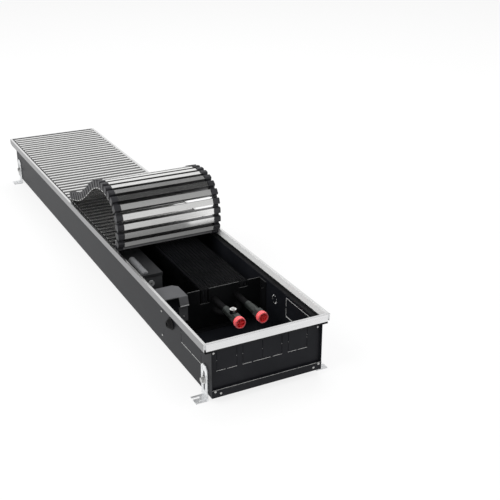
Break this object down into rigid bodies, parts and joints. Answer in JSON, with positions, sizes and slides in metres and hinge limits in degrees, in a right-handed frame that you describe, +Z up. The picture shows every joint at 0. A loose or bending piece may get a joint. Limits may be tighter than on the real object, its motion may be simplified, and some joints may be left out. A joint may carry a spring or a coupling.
{
  "type": "trench convector heater",
  "caption": "Floor trench convector with a water heat exchanger, a cross-flow fan, an aluminium frame and a roll-up slat grille rolled part of the way back.",
  "frame": {"origin": "middle of the heater's plan outline, on the floor under the feet", "axes": "+Y along the trough from the pipe end to the far end, +X across it towards the heat exchanger's side, +Z up"},
  "size_m": [0.28, 1.4, 0.2546],
  "materials": {
    "trough_paint": "satin dark grey powder coat",
    "screw_steel": "zinc-plated",
    "grommet_rubber": "matt black",
    "frame_aluminium": "satin anodised",
    "seal_rubber": "matt black",
    "slat_aluminium": "natural anodised",
    "shoe_plastic": "matt black",
    "exchanger_paint": "matt black coat",
    "bracket_paint": "satin black coat",
    "union_metal": "dark grey, worn",
    "plug_plastic": "red moulding",
    "vent_metal": "nickel-plated",
    "box_paint": "satin dark grey coat",
    "gland_plastic": "grey moulding",
    "capacitor_metal": "satin",
    "angle_paint": "mid grey coat",
    "housing_paint": "satin dark grey coat",
    "rotor_aluminium": "mill finish",
    "motor_paint": "dark grey coat",
    "foot_steel": "galvanised"
  },
  "bodies": {
    "trough_assembly": {"trough": "trough_paint", "end_plate_near": "trough_paint", "end_plate_far": "trough_paint", "casing_screws": "screw_steel", "cable_grommet": "grommet_rubber", "frame_rail_left": "frame_aluminium", "frame_rail_right": "frame_aluminium", "frame_rail_near": "frame_aluminium", "frame_rail_far": "frame_aluminium", "frame_corner_keys": "frame_aluminium", "frame_seal": "seal_rubber", "grille_rest_strips": "seal_rubber", "flat_slats": "slat_aluminium", "flat_slat_shoes": "shoe_plastic", "exchanger_fins": "exchanger_paint", "exchanger_tubes": "exchanger_paint", "exchanger_brackets": "bracket_paint", "valve_unions": "union_metal", "vent_body": "vent_metal", "control_box": "box_paint", "control_box_lid": "box_paint", "cable_gland": "gland_plastic", "fan_capacitor": "capacitor_metal", "angle_bracket": "angle_paint", "fan_housing": "housing_paint", "fan_motor": "motor_paint", "fan_bearing": "grommet_rubber", "foot_fasteners": "screw_steel"},
    "slat_01": {"curl_slat_01": "slat_aluminium"},
    "slat_02": {"curl_slat_02": "slat_aluminium"},
    "slat_03": {"curl_slat_03": "slat_aluminium"},
    "slat_04": {"curl_slat_04": "slat_aluminium"},
    "slat_05": {"curl_slat_05": "slat_aluminium"},
    "slat_06": {"curl_slat_06": "slat_aluminium"},
    "slat_07": {"curl_slat_07": "slat_aluminium"},
    "slat_08": {"curl_slat_08": "slat_aluminium"},
    "slat_09": {"curl_slat_09": "slat_aluminium"},
    "slat_10": {"curl_slat_10": "slat_aluminium"},
    "slat_11": {"curl_slat_11": "slat_aluminium"},
    "slat_12": {"curl_slat_12": "slat_aluminium"},
    "slat_13": {"curl_slat_13": "slat_aluminium"},
    "slat_14": {"curl_slat_14": "slat_aluminium"},
    "slat_15": {"curl_slat_15": "slat_aluminium"},
    "slat_16": {"curl_slat_16": "slat_aluminium"},
    "slat_17": {"curl_slat_17": "slat_aluminium"},
    "slat_18": {"curl_slat_18": "slat_aluminium"},
    "slat_19": {"curl_slat_19": "slat_aluminium"},
    "slat_20": {"curl_slat_20": "slat_aluminium"},
    "slat_21": {"curl_slat_21": "slat_aluminium"},
    "slat_22": {"curl_slat_22": "slat_aluminium"},
    "slat_23": {"curl_slat_23": "slat_aluminium"},
    "slat_24": {"curl_slat_24": "slat_aluminium"},
    "plug_left": {"plug_left": "plug_plastic"},
    "plug_right": {"plug_right": "plug_plastic"},
    "vent_screw": {"vent_screw": "vent_metal"},
    "fan": {"fan_rotor": "rotor_aluminium"},
    "foot_near_left": {"foot_near_left": "foot_steel"},
    "foot_near_right": {"foot_near_right": "foot_steel"},
    "foot_far_left": {"foot_far_left": "foot_steel"},
    "foot_far_right": {"foot_far_right": "foot_steel"}
  },
  "joints": [
    {"name": "slat_hinge_01", "type": "hinge", "parent": "trough_assembly", "child": "slat_01", "pos_m": [0, -0.21, 0.12075], "axis": [1, 0, 0], "range_deg": [0, 34]},
    {"name": "slat_hinge_02", "type": "hinge", "parent": "slat_01", "child": "slat_02", "pos_m": [0, -0.22658, 0.13193], "axis": [1, 0, 0], "range_deg": [0, 34]},
    {"name": "slat_hinge_03", "type": "hinge", "parent": "slat_02", "child": "slat_03", "pos_m": [0, -0.23407, 0.15048], "axis": [1, 0, 0], "range_deg": [0, 20]},
    {"name": "slat_hinge_04", "type": "hinge", "parent": "slat_03", "child": "slat_04", "pos_m": [0, -0.23477, 0.17047], "axis": [1, 0, 0], "range_deg": [0, 6]},
    {"name": "slat_hinge_05", "type": "hinge", "parent": "slat_04", "child": "slat_05", "pos_m": [0, -0.23338, 0.19042], "axis": [1, 0, 0], "range_deg": [0, 14]},
    {"name": "slat_hinge_06", "type": "hinge", "parent": "slat_05", "child": "slat_06", "pos_m": [0, -0.2272, 0.20944], "axis": [1, 0, 0], "range_deg": [0, 20]},
    {"name": "slat_hinge_07", "type": "hinge", "parent": "slat_06", "child": "slat_07", "pos_m": [0, -0.21488, 0.2252], "axis": [1, 0, 0], "range_deg": [0, 20]},
    {"name": "slat_hinge_08", "type": "hinge", "parent": "slat_07", "child": "slat_08", "pos_m": [0, -0.19792, 0.2358], "axis": [1, 0, 0], "range_deg": [0, 14]},
    {"name": "slat_hinge_09", "type": "hinge", "parent": "slat_08", "child": "slat_09", "pos_m": [0, -0.1789, 0.24198], "axis": [1, 0, 0], "range_deg": [0, 9]},
    {"name": "slat_hinge_10", "type": "hinge", "parent": "slat_09", "child": "slat_10", "pos_m": [0, -0.15915, 0.24511], "axis": [1, 0, 0], "range_deg": [0, 8]},
    {"name": "slat_hinge_11", "type": "hinge", "parent": "slat_10", "child": "slat_11", "pos_m": [0, -0.13915, 0.24545], "axis": [1, 0, 0], "range_deg": [0, 8]},
    {"name": "slat_hinge_12", "type": "hinge", "parent": "slat_11", "child": "slat_12", "pos_m": [0, -0.1193, 0.24302], "axis": [1, 0, 0], "range_deg": [0, 9.06]},
    {"name": "slat_hinge_13", "type": "hinge", "parent": "slat_12", "child": "slat_13", "pos_m": [0, -0.10008, 0.23749], "axis": [1, 0, 0], "range_deg": [0, 6]},
    {"name": "slat_hinge_14", "type": "hinge", "parent": "slat_13", "child": "slat_14", "pos_m": [0, -0.08154, 0.22998], "axis": [1, 0, 0], "range_deg": [0, 6]},
    {"name": "slat_hinge_15", "type": "hinge", "parent": "slat_14", "child": "slat_15", "pos_m": [0, -0.06389, 0.22057], "axis": [1, 0, 0], "range_deg": [0, 4]},
    {"name": "slat_hinge_16", "type": "hinge", "parent": "slat_15", "child": "slat_16", "pos_m": [0, -0.04694, 0.20995], "axis": [1, 0, 0], "range_deg": [0, 2]},
    {"name": "slat_hinge_17", "type": "hinge", "parent": "slat_16", "child": "slat_17", "pos_m": [0, -0.03037, 0.19875], "axis": [1, 0, 0], "range_deg": [-2.02, 0.02]},
    {"name": "slat_hinge_18", "type": "hinge", "parent": "slat_17", "child": "slat_18", "pos_m": [0, -0.01342, 0.18814], "axis": [1, 0, 0], "range_deg": [-2.02, 0.02]},
    {"name": "slat_hinge_19", "type": "hinge", "parent": "slat_18", "child": "slat_19", "pos_m": [0, 0.00389, 0.17812], "axis": [1, 0, 0], "range_deg": [-2.02, 0.02]},
    {"name": "slat_hinge_20", "type": "hinge", "parent": "slat_19", "child": "slat_20", "pos_m": [0, 0.02154, 0.16872], "axis": [1, 0, 0], "range_deg": [-4.02, 0.02]},
    {"name": "slat_hinge_21", "type": "hinge", "parent": "slat_20", "child": "slat_21", "pos_m": [0, 0.0398, 0.16056], "axis": [1, 0, 0], "range_deg": [-5.02, 0.02]},
    {"name": "slat_hinge_22", "type": "hinge", "parent": "slat_21", "child": "slat_22", "pos_m": [0, 0.05871, 0.15403], "axis": [1, 0, 0], "range_deg": [-4.02, 0.02]},
    {"name": "slat_hinge_23", "type": "hinge", "parent": "slat_22", "child": "slat_23", "pos_m": [0, 0.07802, 0.14884], "axis": [1, 0, 0], "range_deg": [-1.02, 0.02]},
    {"name": "slat_hinge_24", "type": "hinge", "parent": "slat_23", "child": "slat_24", "pos_m": [0, 0.09742, 0.14398], "axis": [1, 0, 0], "range_deg": [-0.02, 3.02]},
    {"name": "plug_left_turn", "type": "hinge", "parent": "trough_assembly", "child": "plug_left", "pos_m": [0.007, -0.572, 0.078], "axis": [0, 1, 0], "continuous": true},
    {"name": "plug_right_turn", "type": "hinge", "parent": "trough_assembly", "child": "plug_right", "pos_m": [0.057, -0.572, 0.078], "axis": [0, 1, 0], "continuous": true},
    {"name": "vent_screw_turn", "type": "hinge", "parent": "trough_assembly", "child": "vent_screw", "pos_m": [0.007, -0.53803, 0.092], "axis": [0, 0, 1], "continuous": true},
    {"name": "fan_spin", "type": "hinge", "parent": "trough_assembly", "child": "fan", "pos_m": [-0.07, 0.23, 0.064], "axis": [0, 1, 0], "continuous": true},
    {"name": "foot_near_left_height", "type": "slide", "parent": "trough_assembly", "child": "foot_near_left", "axis": [0, 0, 1], "range_m": [-0.014, 0.012]},
    {"name": "foot_near_right_height", "type": "slide", "parent": "trough_assembly", "child": "foot_near_right", "axis": [0, 0, 1], "range_m": [-0.014, 0.012]},
    {"name": "foot_far_left_height", "type": "slide", "parent": "trough_assembly", "child": "foot_far_left", "axis": [0, 0, 1], "range_m": [-0.014, 0.012]},
    {"name": "foot_far_right_height", "type": "slide", "parent": "trough_assembly", "child": "foot_far_right", "axis": [0, 0, 1], "range_m": [-0.014, 0.012]}
  ],
  "couplings": [
    {"joint": "slat_hinge_17", "follows": "slat_hinge_01", "ratio": -0.058824},
    {"joint": "slat_hinge_18", "follows": "slat_hinge_01", "ratio": -0.058824},
    {"joint": "slat_hinge_19", "follows": "slat_hinge_01", "ratio": -0.058824},
    {"joint": "slat_hinge_20", "follows": "slat_hinge_01", "ratio": -0.11765},
    {"joint": "slat_hinge_21", "follows": "slat_hinge_01", "ratio": -0.14706},
    {"joint": "slat_hinge_22", "follows": "slat_hinge_01", "ratio": -0.11765},
    {"joint": "slat_hinge_23", "follows": "slat_hinge_01", "ratio": -0.029412},
    {"joint": "slat_hinge_24", "follows": "slat_hinge_01", "ratio": 0.088235}
  ]
}
